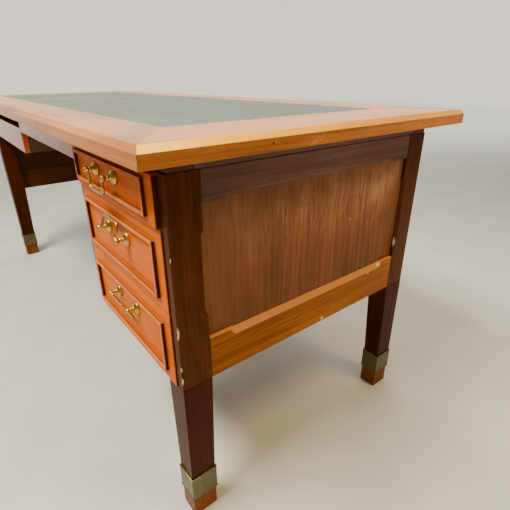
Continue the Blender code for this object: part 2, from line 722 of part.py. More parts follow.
def make_pen_drawer():
    """The shallow drawer left of the apron. It hangs between two L-shaped runners under the subframe."""
    slide = empty("pen_drawer_slide", ((PEN_LEFT + PEN_RIGHT) / 2, FRONT_Y, (PEN_BOTTOM + PEN_TOP) / 2))
    back = FRONT_Y + PEN_FRONT_THICKNESS
    front = box("pen_drawer_front", (PEN_LEFT, FRONT_Y, PEN_BOTTOM), (PEN_RIGHT, back, PEN_TOP), RAIL_WOOD)
    tray_low = PEN_BOTTOM + PEN_RUNNER_FOOT + FIT_GAP
    side_room = PEN_RUNNER_WIDTH + PEN_SIDE_GAP
    tray_left = PEN_LEFT + side_room
    tray_right = PEN_RIGHT - side_room
    tray_front = back + FIT_GAP
    tray_rear = REAR_Y - REAR_APRON_INSET - APRON_THICKNESS - PEN_REAR_CLEARANCE
    tray_high = tray_low + PEN_BOX_HEIGHT
    tray = box("pen_drawer_tray", (tray_left, tray_front, tray_low), (tray_right, tray_rear, tray_high), BOX_WOOD, 0)
    inside_low = (tray_left + PEN_WALL, tray_front + PEN_WALL, tray_low + PEN_BASE)
    inside_high = (tray_right - PEN_WALL, tray_rear - PEN_WALL, tray_high + PEN_WALL)
    cut(tray, box_cutter("pen_inside", inside_low, inside_high))
    hang_on(slide, front, tray)
    runner_rear = tray_rear + PEN_SIDE_GAP
    foot = PEN_RUNNER_WIDTH + PEN_WALL
    for side, outer, sign in (("left", PEN_LEFT, 1), ("right", PEN_RIGHT, -1)):
        web = sorted((outer, outer + sign * PEN_RUNNER_WIDTH))
        low = (web[0], back + DRAWER_GAP, PEN_BOTTOM)
        runner = box(f"pen_runner_{side}", low, (web[1], runner_rear, FRAME_TOP), RAIL_WOOD, 0)
        ledge = sorted((outer + sign * PEN_WALL, outer + sign * (PEN_SIDE_GAP + foot)))
        ledge_low = (ledge[0], back + DRAWER_GAP, PEN_BOTTOM)
        tool = box_cutter(f"pen_ledge_{side}", ledge_low, (ledge[1], runner_rear, PEN_BOTTOM + PEN_RUNNER_FOOT))
        cut(runner, tool, "UNION")


make_top()
make_subframe()
for end_side in ("right", "left"):
    make_end(end_side)
for leg_end in ("front", "rear"):
    make_leg("right", leg_end, LEG_HEIGHT - FIT_GAP)
    for leg_side in ("right", "left"):
        make_band(leg_side, leg_end)
make_pedestal()
for drawer_level in ("bottom", "middle", "top"):
    make_drawer(drawer_level)
make_aprons()
make_pen_drawer()
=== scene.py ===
# %% [markdown]
# # A writing desk with a leather top
# The desk is a joiner's piece: boards and frames of polished mahogany, brass fittings and a leather writing
# surface. Its frame is already built to size, so this lesson is about its finish: the mouldings, handles and
# bands get their real sections, and every board gets a grain that runs the way the joiner would lay it.

import json
import math

import bmesh
import bpy
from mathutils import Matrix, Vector


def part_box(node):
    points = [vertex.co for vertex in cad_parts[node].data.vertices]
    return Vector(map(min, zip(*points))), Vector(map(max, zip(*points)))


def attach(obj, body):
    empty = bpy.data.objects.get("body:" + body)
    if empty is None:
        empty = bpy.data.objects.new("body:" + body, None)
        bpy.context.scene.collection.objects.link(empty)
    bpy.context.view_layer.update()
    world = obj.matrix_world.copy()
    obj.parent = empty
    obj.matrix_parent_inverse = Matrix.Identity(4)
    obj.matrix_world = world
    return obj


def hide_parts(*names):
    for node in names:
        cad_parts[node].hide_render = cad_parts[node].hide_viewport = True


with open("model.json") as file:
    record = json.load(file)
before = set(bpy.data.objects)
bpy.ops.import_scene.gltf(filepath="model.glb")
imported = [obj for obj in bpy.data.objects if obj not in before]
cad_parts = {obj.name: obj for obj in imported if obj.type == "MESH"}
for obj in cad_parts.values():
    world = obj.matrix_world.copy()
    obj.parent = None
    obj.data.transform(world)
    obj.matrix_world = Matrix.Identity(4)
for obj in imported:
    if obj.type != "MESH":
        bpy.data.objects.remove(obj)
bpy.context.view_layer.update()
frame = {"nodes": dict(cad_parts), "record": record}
nodes = frame["nodes"]
joints = {joint["name"]: joint for joint in frame["record"]["behaviour"]["joints"]}

# %% [markdown]
# ## Camera
# The desk is seen from just above its top, close to one corner, with a wide lens. At this height the polished
# top is seen at a very flat angle, so it mirrors the pale room behind it. The lens is shifted a little, as in a
# picture that was trimmed after it was taken.

# %% Camera
bpy.ops.object.select_all(action="DESELECT")
bpy.ops.object.camera_add(
    location=(1.3532, -0.5526, 0.8400),
    rotation=[math.radians(angle) for angle in (65.67, 0.47, 52.05)],
)
camera = bpy.context.object
camera.data.sensor_width = 36.0
camera.data.lens = 27.64
camera.data.shift_x = 0.0111
camera.data.shift_y = -0.0039
camera.data.dof.use_dof = False
bpy.context.scene.camera = camera

# %% [markdown]
# ## Floor and light
# A plain pale floor and a pale room show a polished surface best, because it always reflects something even.
# One large softbox stands in front of the drawers, one by the end of the desk, one behind its corner, whose
# glint runs along the bevel, where the bevel's own colour adds a painted glint, and one hangs overhead. The room
# is bright beyond the desk and dim in front of it, so that the flat top mirrors a pale wall while the upright
# faces keep their full colour.


# %% Floor and light
def softbox(name, place, aim, size, watts, colour):
    bpy.ops.object.light_add(type="AREA", location=place)
    lamp = bpy.context.object
    lamp.name = name
    lamp.data.shape = "RECTANGLE"
    lamp.data.size, lamp.data.size_y = size
    lamp.data.energy = watts
    lamp.data.color = colour
    lamp.rotation_euler = (Vector(aim) - Vector(place)).to_track_quat("-Z", "Y").to_euler()


FLOOR_SIZE = 24.0
BEYOND = (-0.79, 0.61, 0.0)  # the way the camera looks over the desk, along the floor

bpy.ops.mesh.primitive_plane_add(size=FLOOR_SIZE, location=(0, 0, 0))
floor = bpy.context.object
floor.name = "floor"
softbox("front_box", (0.3, -1.6, 3.2), (0.6, -0.3, 0.5), (1.8, 0.9), 255.0, (1.0, 0.92, 0.76))
softbox("end_box", (3.6, -0.9, 1.9), (0.9, 0.0, 0.5), (1.6, 1.4), 20.0, (1.0, 0.94, 0.86))
softbox("corner_box", (1.93, 0.51, 2.76), (0.92, -0.3, 0.77), (0.6, 0.8), 52.0, (1.0, 0.70, 0.26))
softbox("ceiling_box", (-0.5, 0.6, 3.0), (-0.2, 0.0, 0.7), (3.0, 2.0), 45.0, (1.0, 0.98, 0.95))

world = bpy.data.worlds.new("pale_room")
world.use_nodes = True
air = world.node_tree
heading = air.nodes.new("ShaderNodeTexCoord")
beyond = air.nodes.new("ShaderNodeVectorMath")
beyond.operation = "DOT_PRODUCT"
beyond.inputs[1].default_value = BEYOND
brightness = air.nodes.new("ShaderNodeValToRGB")
brightness.color_ramp.elements[0].position = 0.0
brightness.color_ramp.elements[0].color = (0.13, 0.12, 0.11, 1.0)
brightness.color_ramp.elements[1].position = 0.75
brightness.color_ramp.elements[1].color = (1.06, 0.99, 0.84, 1.0)
air.links.new(heading.outputs["Generated"], beyond.inputs[0])
air.links.new(beyond.outputs["Value"], brightness.inputs["Fac"])
air.links.new(brightness.outputs["Color"], air.nodes["Background"].inputs["Color"])
air.nodes["Background"].inputs["Strength"].default_value = 1.18
bpy.context.scene.world = world

# %% [markdown]
# ## Shader values as expressions
# A wood finish is a sum of simple patterns: slow figure, fine streaks, short pores, rubbed edges. Written as
# arithmetic it stays readable, so a small class wraps a socket and adds a Math node for each operator. Another
# holds the material and has the one method that adds any other node.


# %% Shader values as expressions
class Wire:
    """A value that varies over a surface."""

    def __init__(self, finish, socket):
        self.finish = finish
        self.socket = socket

    def maths(self, operation, first, second):
        return self.finish.node("ShaderNodeMath", {"operation": operation}, {0: first, 1: second})

    def __add__(self, other):
        return self.maths("ADD", self, other)

    def __radd__(self, other):
        return self.maths("ADD", other, self)

    def __sub__(self, other):
        return self.maths("SUBTRACT", self, other)

    def __rsub__(self, other):
        return self.maths("SUBTRACT", other, self)

    def __mul__(self, other):
        return self.maths("MULTIPLY", self, other)

    def __rmul__(self, other):
        return self.maths("MULTIPLY", other, self)

    def least(self, other):
        return self.maths("MINIMUM", self, other)

    def most(self, other):
        return self.maths("MAXIMUM", self, other)

    def size(self):
        return self.maths("ABSOLUTE", self, 0.0)

    def step(self, low, high):
        """0 below low, 1 above high, and a smooth rise between."""
        settings = {"interpolation_type": "SMOOTHSTEP"}
        inputs = {"Value": self, "From Min": low, "From Max": high}
        return self.finish.node("ShaderNodeMapRange", settings, inputs)

    def ramp(self, *stops):
        return self.finish.node("ShaderNodeValToRGB", {"stops": stops}, {"Fac": self})


class Finish:
    """A material whose shader is a Principled BSDF, with its patterns laid out in the desk's own space."""

    def __init__(self, name):
        self.material = bpy.data.materials.new(name)
        self.material.use_nodes = True
        self.tree = self.material.node_tree
        self.shader = self.tree.nodes["Principled BSDF"]
        self.place = self.node("ShaderNodeTexCoord", {}, {}, "Object")

    def node(self, kind, settings, inputs, output=0):
        made = self.tree.nodes.new(kind)
        for key, value in settings.items():
            if key == "stops":
                self.set_stops(made.color_ramp, value)
            else:
                setattr(made, key, value)
        for key, value in inputs.items():
            self.join(made.inputs[key], value)
        return Wire(self, made.outputs[output])

    def set_stops(self, ramp, stops):
        ramp.elements.remove(ramp.elements[-1])
        ramp.elements[0].position = stops[0][0]
        ramp.elements[0].color = (*stops[0][1], 1.0)
        for position, colour in stops[1:]:
            ramp.elements.new(position).color = (*colour, 1.0)

    def join(self, socket, value):
        if isinstance(value, Wire):
            self.tree.links.new(value.socket, socket)
        elif socket.type == "RGBA":
            socket.default_value = (*value, 1.0)
        else:
            socket.default_value = value

    def mix(self, first, second, share):
        return self.node("ShaderNodeMix", {"data_type": "RGBA"}, {0: share, 6: first, 7: second}, 2)

    def noise(self, scale, stretch=(1, 1, 1), detail=3.0, roughness=0.55, bend=0.0, shift=(0, 0, 0)):
        spot = self.node("ShaderNodeMapping", {}, {"Vector": self.place, "Scale": stretch, "Location": shift})
        inputs = {"Vector": spot, "Scale": scale, "Detail": detail, "Roughness": roughness, "Distortion": bend}
        return self.node("ShaderNodeTexNoise", {}, inputs)

    def axes(self):
        made = self.tree.nodes.new("ShaderNodeSeparateXYZ")
        self.join(made.inputs[0], self.place)
        return [Wire(self, output) for output in made.outputs]

    def rounded(self, radius):
        """The surface's direction with its edges rounded over, and a mask of the edges themselves."""
        soft = self.node("ShaderNodeBevel", {"samples": 4}, {"Radius": radius})
        flat = self.node("ShaderNodeNewGeometry", {}, {}, "Normal")
        likeness = {"operation": "DOT_PRODUCT"}
        agreement = self.node("ShaderNodeVectorMath", likeness, {0: soft, 1: flat}, "Value")
        return soft, (1 - agreement).step(0.015, 0.22)

    def facing(self, axis, sides=False):
        """How far the surface looks along an axis, or, with sides, either way along it."""
        parts = self.tree.nodes.new("ShaderNodeSeparateXYZ")
        self.join(parts.inputs[0], self.node("ShaderNodeNewGeometry", {}, {}, "Normal"))
        along = Wire(self, parts.outputs[axis])
        return along.size() if sides else along

    def near(self, spots, raggedness, squeeze=(1.0, 1.0, 1.0)):
        """A mask of small ragged spots, each a place and a radius. A squeeze under 1 makes them longer."""
        ragged = (self.noise(520.0, (1.0, 1.6, 0.7), 2.0, 0.6) - 0.5) * raggedness
        times = {"operation": "MULTIPLY"}
        drawn = self.node("ShaderNodeVectorMath", times, {0: self.place, 1: squeeze}, "Vector")
        mask = None
        for place, radius in spots:
            middle = [part * share for part, share in zip(place, squeeze)]
            gap = self.node("ShaderNodeVectorMath", {"operation": "DISTANCE"}, {0: drawn, 1: middle}, "Value")
            spot = 1 - (gap + ragged * radius).step(radius * 0.9, radius * 1.15)
            mask = spot if mask is None else mask.most(spot)
        return mask

    def shade(self, colour, roughness, height, normal, distance, strength, **constants):
        relief = {"Height": height, "Normal": normal, "Distance": distance, "Strength": strength}
        bump = self.node("ShaderNodeBump", {}, relief)
        self.join(self.shader.inputs["Base Color"], colour)
        self.join(self.shader.inputs["Roughness"], roughness)
        self.join(self.shader.inputs["Normal"], bump)
        for key, value in constants.items():
            self.join(self.shader.inputs[key.replace("_", " ")], value)
        return self.material


def tone(red, green, blue):
    """A paint-chart colour, 0 to 255, as the linear light that a shader takes."""
    chart = (red, green, blue)
    return tuple(((part / 255 + 0.055) / 1.055) ** 2.4 if part > 10 else part / 3295 for part in chart)


print("shader helpers ready")

# %% [markdown]
# ## Polished wood
# Mahogany shows three scales at once: a slow figure as wide as a hand, streaks a millimetre or two wide that run
# the length of the board, and short dark pores. All three are noise, pulled out along the grain. The polish has
# rubbed thin on the edges, where paler wood shows, and on the beads that worn tone paints highlight lines. Some
# boards are darker low down and on their upward faces. Others carry painted shade on faces that would lie in
# shade, and painted light and a painted glint on faces that catch the lamps. One function makes every wood,
# because only the tones, the direction, the gloss and the wear change from board to board.

# %% Polished wood
ALONG_X, ALONG_Y, ALONG_Z = 0, 1, 2
EDGE_RADIUS = 0.0016
CHIP_TONE = tone(214, 200, 176)
# How far the figure, the streaks and the pores are drawn out along the grain: the less, the longer.
FIGURE_PULL, STREAK_PULL, PORE_PULL = 0.16, 0.022, 0.035
PORE_SCALE = 700.0
WEAR_SCALE = 38.0
BUMP_DEPTH, BUMP_STRENGTH = 0.0003, 0.35
CHIP_RAGGEDNESS, SCUFF_RAGGEDNESS, HOLE_RAGGEDNESS = 5.0, 3.0, 0.3
# Shares of the main tone, for red, green and blue, in the dark and light streaks and in the thinner darkening low
# down.
DARK_STREAK = (0.42, 0.36, 0.32)
LIGHT_STREAK = (1.45, 1.6, 1.7)
THIN_LOW_SHARE = (0.46, 0.36, 0.22)


def pulled(axis, share):
    """A stretch that draws a pattern out along the grain."""
    return tuple(share if i == axis else 1.0 for i in range(3))


def rim_shade_and_darkening(finish, colour, shade, middle, dark, smudge, box):
    """Darkens a framed panel: painted shade in a line round its edge, where it sits back in its frame, and darker
    towards the bottom and the front end.
    """
    low, high = box
    spread = smudge * 0.10
    _, depth, height_up = finish.axes()
    edge_gap = (depth - low[1]).least(high[1] - depth).least(high[2] - height_up).least(height_up - low[2])
    # painted shade: a dark line round the panel's edge, where the frame stands proud of it
    colour = finish.mix(colour, dark, (1 - (edge_gap - spread).step(-0.05, 0.035)) * 0.8)
    # darker towards the bottom
    deep_low_tone = tuple(part * 0.20 for part in dark)
    thin_low_tone = tuple(part * share for part, share in zip(middle, THIN_LOW_SHARE))
    darkened_tone = shade.ramp((0.36, deep_low_tone), (0.64, thin_low_tone))
    colour = finish.mix(colour, darkened_tone, (1 - (height_up - spread).step(low[2] + 0.02, low[2] + 0.25)) * 0.92)
    # darker towards the front end
    colour = finish.mix(colour, dark, (1 - (depth - spread).step(low[1] - 0.06, low[1] + 0.30)) * 0.7)
    return colour


def damaged(finish, colour, dark, chips, chip_squeeze, scuffs, holes):
    """Lays the marks over the polish: pale chips, faint scuffs and dark holes."""
    if chips:
        colour = finish.mix(colour, CHIP_TONE, finish.near(chips, CHIP_RAGGEDNESS, chip_squeeze))
    if scuffs:
        colour = finish.mix(colour, CHIP_TONE, finish.near(scuffs, SCUFF_RAGGEDNESS) * 0.35)
    if holes:
        colour = finish.mix(colour, tuple(part * 0.15 for part in dark), finish.near(holes, HOLE_RAGGEDNESS))
    return colour


def wood(
    name,
    grain,
    middle,
    worn_and_lit,
    gloss=0.3,
    wear=0.6,
    streaky=0.5,
    fine=95.0,
    contrast=1.0,
    coat=0.1,
    mirror=0.25,
    shift=0.0,
    chips=(),
    chip_squeeze=(1.0, 1.0, 1.0),
    painted_side_shade=False,
    painted_top_light=0.0,
    darkened_tops=0.0,
    rim_shade_box=None,
    flecks=0.0,
    painted_bevel_glint=0.0,
    holes=(),
    scuffs=(),
    shaded=0.0,
):
    """A polished wood. middle is its main tone; the second tone is the wood under worn polish and also serves as
    painted light; the rest are shares.
    """
    finish = Finish(name)
    dark = tuple(part * share**contrast for part, share in zip(middle, DARK_STREAK))
    light = tuple(part * share**contrast for part, share in zip(middle, LIGHT_STREAK))
    offset = (shift, shift * 0.7, shift * 1.3)
    figure = finish.noise(7.0, pulled(grain, FIGURE_PULL), 3.0, 0.5, 0.9, offset)
    streaks = finish.noise(fine, pulled(grain, STREAK_PULL), 5.0, 0.62, 0.25, offset)
    pores = finish.noise(PORE_SCALE, pulled(grain, PORE_PULL), 2.0, 0.5, 0.0, offset).step(0.58, 0.70)
    cloud = finish.noise(2.6, detail=2.0, shift=offset)
    smudge = finish.noise(14.0, detail=4.0, roughness=0.7, shift=offset)
    shade = figure * (1.0 - streaky) + streaks * streaky + (cloud - 0.5) * 0.35
    colour = shade.ramp((0.30, dark), (0.50, middle), (0.72, light))
    colour = finish.mix(colour, dark, pores * 0.5)
    if flecks:
        dashes = finish.noise(210.0, pulled(grain, 0.10), 3.0, 0.6, 0.4, offset)
        bands = finish.noise(38.0, pulled(grain, 0.05), 3.0, 0.6, 0.3, offset)
        colour = finish.mix(colour, dark, dashes.step(0.50, 0.66) * flecks)
        colour = finish.mix(colour, light, (1 - dashes.step(0.34, 0.46)) * flecks * 0.6)
        colour = finish.mix(colour, dark, bands.step(0.48, 0.70) * flecks * 0.7)
    if rim_shade_box:
        colour = rim_shade_and_darkening(finish, colour, shade, middle, dark, smudge, rim_shade_box)
    # painted shade: faces looking either way along x are darkened as if shaded in the narrow gaps beside them
    if painted_side_shade:
        shadow_side = tuple(part * 0.10 for part in middle)
        colour = finish.mix(colour, shadow_side, finish.facing(0, sides=True).step(0.6, 0.9))
    normal, edge = finish.rounded(EDGE_RADIUS)
    patchy = finish.noise(WEAR_SCALE, detail=4.0, roughness=0.7, shift=offset)
    rubbing = edge * patchy.step(0.55 - 0.3 * wear, 0.76 - 0.3 * wear) * wear
    # painted shade: faces looking along +x, the inner faces of the left end, are darkened as if in shadow
    if shaded:
        darkened_tone = tuple(part * 0.25 for part in dark)
        colour = finish.mix(colour, darkened_tone, finish.facing(0).step(0.4, 0.9) * shaded)
    # upward faces made darker
    if darkened_tops:
        top_darkening_tone = tuple(part * 0.3 for part in middle)
        colour = finish.mix(colour, top_darkening_tone, finish.facing(2).step(0.6, 0.95) * darkened_tops)
    colour = finish.mix(colour, worn_and_lit, rubbing)
    # painted light: upward faces, such as the bottom rail's chamfer, are lightened as if lit from above
    if painted_top_light:
        colour = finish.mix(colour, worn_and_lit, finish.facing(2).step(0.2, 0.5) * painted_top_light)
    # painted glint: the bevel's sloping faces are lit golden, most strongly near the front corner
    if painted_bevel_glint:
        sloping = finish.facing(0) * finish.facing(2)
        towards_corner = 1 - finish.axes()[1].step(-0.40, 0.30)
        bevel_glint = sloping.step(0.15, 0.4) * (towards_corner * 0.7 + 0.3) * painted_bevel_glint
        colour = finish.mix(colour, worn_and_lit, bevel_glint)
    colour = damaged(finish, colour, dark, chips, chip_squeeze, scuffs, holes)
    roughness = gloss + (streaks - 0.5) * 0.16 + (smudge - 0.5) * 0.22 + rubbing * 0.2
    height = streaks * 0.35 - pores * 0.6
    return finish.shade(
        colour,
        roughness,
        height,
        normal,
        BUMP_DEPTH,
        BUMP_STRENGTH,
        Coat_Weight=coat,
        Coat_Roughness=0.16,
        Specular_IOR_Level=mirror,
    )


print("wood recipe ready")

# %% [markdown]
# ## Tones of the boards
# All the boards are mahogany, but each was stained its own way and has aged in its own light. The rails and stiles
# of the ends are dark, the drawer fronts and the border are orange, and the wood inside the drawers is bare. Each
# board has two tones, one for its polish and one for the wood under worn polish. On the border's bevel, the bottom
# rail's upward faces and the beads' arrises, that second tone also serves as painted light.

# %% Tones of the boards
BORDER_TONE, BORDER_WORN_AND_GLINT = tone(178, 106, 38), tone(255, 182, 30)
STILE_TONE, STILE_RUBBED = tone(79, 39, 10), tone(130, 74, 34)
TOP_RAIL_TONE, TOP_RAIL_RUBBED = tone(98, 70, 57), tone(126, 80, 48)
RAIL_TONE, RAIL_WORN_AND_LIT = tone(150, 86, 26), tone(206, 138, 78)
PANEL_TONE, PANEL_RUBBED = tone(178, 122, 84), tone(150, 100, 60)
LEG_TONE, LEG_RUBBED = tone(60, 22, 6), tone(132, 70, 40)
FOOT_TONE = tone(118, 62, 22)
FRONT_TONE, FRONT_RUBBED = tone(196, 92, 4), tone(236, 160, 110)
# painted highlight: the tone of the light lines along the beads' arrises
BEAD_HIGHLIGHT = tone(246, 176, 138)
APRON_TONE, APRON_RUBBED = tone(190, 90, 36), tone(200, 130, 84)
INSIDE_TONE, INSIDE_RUBBED = tone(178, 132, 78), tone(210, 180, 140)
print("border tone", [round(part, 3) for part in BORDER_TONE])

# %% [markdown]
# ## Chips, scuffs and a nail hole
# Years of moving have knocked splinters off the arrises, down to the pale wood, and left one nail hole and a scuff
# on the end of the top. Each mark is a place on the desk and its radius there, in metres. They only change the
# colour, because a dent as small as these would hardly show.

# %% Chips, scuffs and a nail hole
stile_chips = [
    (Vector((0.868, -0.325, 0.462)), 0.0034),
    (Vector((0.868, -0.325, 0.453)), 0.0026),
    (Vector((0.868, -0.325, 0.591)), 0.0018),
    (Vector((0.868, -0.325, 0.386)), 0.0024),
    (Vector((0.868, -0.325, 0.360)), 0.0032),
    (Vector((0.867, -0.266, 0.584)), 0.0018),
    (Vector((0.866, 0.275, 0.463)), 0.0042),
]
rail_chips = [
    (Vector((0.865, 0.223, 0.418)), 0.0046),
    (Vector((0.868, 0.181, 0.408)), 0.0017),
    (Vector((0.868, 0.026, 0.345)), 0.0030),
]
end_scuffs = [
    (Vector((0.925, -0.098 + 0.0028 * step, 0.7425 + rise)), 0.0011)
    for step, rise in enumerate((0.000, 0.003, 0.006, 0.002, 0.005, 0.008, 0.011, 0.006, 0.009, 0.012))
]
nail_holes = [(Vector((0.925, -0.176, 0.7530)), 0.0018)]
panel_specks = [(Vector((0.860, 0.102, 0.5595)), 0.0014)]
print("marks", len(stile_chips + rail_chips + end_scuffs + nail_holes + panel_specks))

# %% [markdown]
# ## A wood for each board
# The joiner's boards are grouped by how they were finished, and each group shares its gloss and wear. Every wood
# gets its own shift, which moves the pattern along, so that no two boards look cut from the same plank.

# %% A wood for each board
border = dict(gloss=0.24, coat=0.05, mirror=0.3, wear=0.6)
stained = dict(gloss=0.34, coat=0.0, mirror=0.05)
veneer = dict(gloss=0.38, coat=0.0, mirror=0.06, wear=0.0, streaky=0.72, fine=240.0, contrast=1.2, flecks=0.75)
hidden = dict(gloss=0.5, coat=0.0, wear=0.2)
bare = dict(gloss=0.62, coat=0.0, wear=0.2)
border_long = wood("border_long_grain", ALONG_X, BORDER_TONE, BORDER_WORN_AND_GLINT, **border)
# The end boards carry a painted glint along their bevel.
border_end = wood(
    "border_end_boards",
    ALONG_Y,
    BORDER_TONE,
    BORDER_WORN_AND_GLINT,
    **border,
    shift=3.1,
    painted_bevel_glint=0.9,
    scuffs=end_scuffs,
    holes=nail_holes,
)
stile_wood = wood(
    "stile_polish",
    ALONG_Z,
    STILE_TONE,
    STILE_RUBBED,
    **stained,
    wear=0.5,
    shift=1.7,
    flecks=0.45,
    chips=stile_chips,
    chip_squeeze=(1.7, 1.7, 0.55),
)
top_rail_wood = wood("top_rail_polish", ALONG_Y, TOP_RAIL_TONE, TOP_RAIL_RUBBED, **stained, wear=0.35, shift=5.2)
# The bottom rail's upward faces get painted light.
rail_wood = wood(
    "bottom_rail_polish",
    ALONG_Y,
    RAIL_TONE,
    RAIL_WORN_AND_LIT,
    **stained,
    wear=0.7,
    shift=2.3,
    flecks=0.35,
    painted_top_light=0.8,
    chips=rail_chips,
)
panel_wood = wood(
    "panel_veneer",
    ALONG_Z,
    PANEL_TONE,
    PANEL_RUBBED,
    **veneer,
    shift=4.4,
    rim_shade_box=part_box("right_end_panel"),
    chips=panel_specks,
)
# The left end's panel and rail get painted shade on their inner faces.
left_panel_wood = wood(
    "left_panel_veneer",
    ALONG_Z,
    PANEL_TONE,
    PANEL_RUBBED,
    **veneer,
    shift=13.4,
    rim_shade_box=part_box("left_end_panel"),
    shaded=0.85,
)
left_rail_wood = wood(
    "left_rail_polish", ALONG_Y, RAIL_TONE, RAIL_WORN_AND_LIT, **stained, wear=0.5, shift=14.6, shaded=0.85
)
# The drawer fronts and their beads get painted shade on their side faces.
front = dict(gloss=0.32, coat=0.0, mirror=0.03, contrast=0.75, painted_side_shade=True)
front_wood = wood(
    "drawer_polish", ALONG_X, FRONT_TONE, FRONT_RUBBED, **front, wear=0.35, shift=6.5, darkened_tops=0.5
)
# The beads' edge wear, at full strength, paints highlight lines along their arrises.
bead_wood = wood("bead_polish", ALONG_X, FRONT_TONE, BEAD_HIGHLIGHT, **front, wear=1.0, shift=6.9, darkened_tops=0.75)
apron_wood = wood("apron_polish", ALONG_X, APRON_TONE, APRON_RUBBED, coat=0.8, mirror=0.5, wear=0.4, shift=7.9)
dark_apron_wood = wood("rear_apron_polish", ALONG_X, STILE_TONE, STILE_RUBBED, gloss=0.35, wear=0.3, shift=9.3)
subframe_long = wood("subframe_long", ALONG_X, STILE_TONE, STILE_RUBBED, **hidden, shift=8.6)
subframe_end = wood("subframe_ends", ALONG_Y, TOP_RAIL_TONE, TOP_RAIL_RUBBED, **hidden, shift=5.2)
inside_long = wood("drawer_sides", ALONG_Y, INSIDE_TONE, INSIDE_RUBBED, **bare, shift=11.6)
inside_wide = wood("drawer_bases", ALONG_X, INSIDE_TONE, INSIDE_RUBBED, **bare, shift=12.8)
print("woods made")

# %% [markdown]
# ## Legs in two colours
# Below the brass band each foot is bare of the dark stain and shows the orange wood, scuffed by brooms and
# shoes. The leg is one piece of wood, so its finish changes colour at the height of the band rather than being
# split in two. The change is hidden under the brass.

# %% Legs in two colours
band_low, band_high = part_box("right_front_band")
BAND_MIDDLE = (band_low[2] + band_high[2]) / 2
SCUFFED_UP_TO = 0.045


def leg_finish():
    finish = Finish("leg_polish")
    streaks = finish.noise(95.0, pulled(ALONG_Z, STREAK_PULL), 5.0, 0.62, 0.25)
    figure = finish.noise(9.0, pulled(ALONG_Z, FIGURE_PULL), 3.0, 0.5, 0.8)
    pores = finish.noise(PORE_SCALE, pulled(ALONG_Z, PORE_PULL), 2.0).step(0.58, 0.70)
    shade = figure * 0.5 + streaks * 0.5
    dark = tuple(part * 0.4 for part in LEG_TONE)
    upper = shade.ramp((0.30, dark), (0.50, LEG_TONE), (0.70, tuple(part * 1.5 for part in LEG_TONE)))
    foot = shade.ramp(
        (0.30, tuple(part * 0.45 for part in FOOT_TONE)),
        (0.50, FOOT_TONE),
        (0.70, tuple(part * 1.5 for part in FOOT_TONE)),
    )
    height_up = finish.axes()[2]
    colour = finish.mix(foot, upper, height_up.step(BAND_MIDDLE - 0.002, BAND_MIDDLE + 0.002))
    knocks = finish.noise(60.0, detail=5.0, roughness=0.7).step(0.5, 0.66)
    scuffs = (1 - height_up.step(0.004, SCUFFED_UP_TO)) * knocks
    colour = finish.mix(colour, tone(96, 60, 36), scuffs * 0.7)
    colour = finish.mix(colour, dark, pores * 0.45)
    normal, edge = finish.rounded(EDGE_RADIUS)
    patchy = finish.noise(WEAR_SCALE, detail=4.0, roughness=0.7)
    rubbing = edge * patchy.step(0.42, 0.64) * 0.5
    colour = finish.mix(colour, LEG_RUBBED, rubbing)
    roughness = 0.3 + (streaks - 0.5) * 0.18 + scuffs * 0.25 + rubbing * 0.2
    height = streaks * 0.35 - pores * 0.6 - scuffs * 0.4
    dull = dict(Coat_Weight=0.0, Coat_Roughness=0.18, Specular_IOR_Level=0.05)
    return finish.shade(colour, roughness, height, normal, BUMP_DEPTH, BUMP_STRENGTH, **dull)


leg_wood = leg_finish()
print("foot colour ends at", round(BAND_MIDDLE, 3), "m")

# %% [markdown]
# ## Leather
# The writing surface is a hide dyed dark green, with a fine pebbled grain, slightly shiny where sleeves have
# polished it. A gilt line runs along its very edge and a finer one a finger's width inside, and the last few
# millimetres are darker where the hide is pared and glued down. The lines follow the panel's own edges, so their
# distance is worked out from the panel's box.

# %% Leather
GILT_INSET = 0.0022
FINE_GILT_INSET = 0.014
PARED_WIDTH = 0.005
leather_low, leather_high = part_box("leather_inset")


def leather_finish():
    finish = Finish("green_hide")
    across, along, _ = finish.axes()
    centre = [(low + high) / 2 for low, high in zip(leather_low, leather_high)]
    half = [(high - low) / 2 for low, high in zip(leather_low, leather_high)]
    inset = (half[0] - (across - centre[0]).size()).least(half[1] - (along - centre[1]).size())
    gilt = 1 - (inset - GILT_INSET).size().step(0.0006, 0.0012)
    fine_gilt = 1 - (inset - FINE_GILT_INSET).size().step(0.0003, 0.0007)
    worn_gold = finish.noise(55.0, detail=4.0, roughness=0.7).step(0.30, 0.50)
    pebbles = {"Vector": finish.place, "Scale": 900.0, "Randomness": 0.9}
    cells = finish.node("ShaderNodeTexVoronoi", {"feature": "F1"}, pebbles, "Distance")
    cloud = finish.noise(5.0, detail=4.0, roughness=0.6)
    polish = finish.noise(2.2, detail=3.0).step(0.35, 0.7)
    hide = cloud.ramp((0.30, tone(22, 36, 28)), (0.55, tone(34, 50, 38)), (0.80, tone(48, 64, 50)))
    colour = finish.mix(hide, tone(14, 24, 21), (1 - inset.step(0.0, PARED_WIDTH)) * 0.7)
    colour = finish.mix(colour, tone(196, 160, 92), gilt * worn_gold)
    colour = finish.mix(colour, tone(120, 112, 70), fine_gilt * worn_gold * 0.6)
    sleeve_marks = finish.noise(30.0, (0.35, 1.0, 1.0), 5.0, 0.75).step(0.45, 0.62)
    roughness = 0.40 - polish * 0.12 + cells * 0.1 + sleeve_marks * 0.06
    normal, _ = finish.rounded(0.001)
    shine = dict(Specular_IOR_Level=0.6, Coat_Weight=0.35, Coat_Roughness=0.22)
    return finish.shade(colour, roughness, cells * -1.0, normal, 0.00025, 0.45, **shine)


green_leather = leather_finish()
print("leather", [round(high - low, 3) for low, high in zip(leather_low, leather_high)])

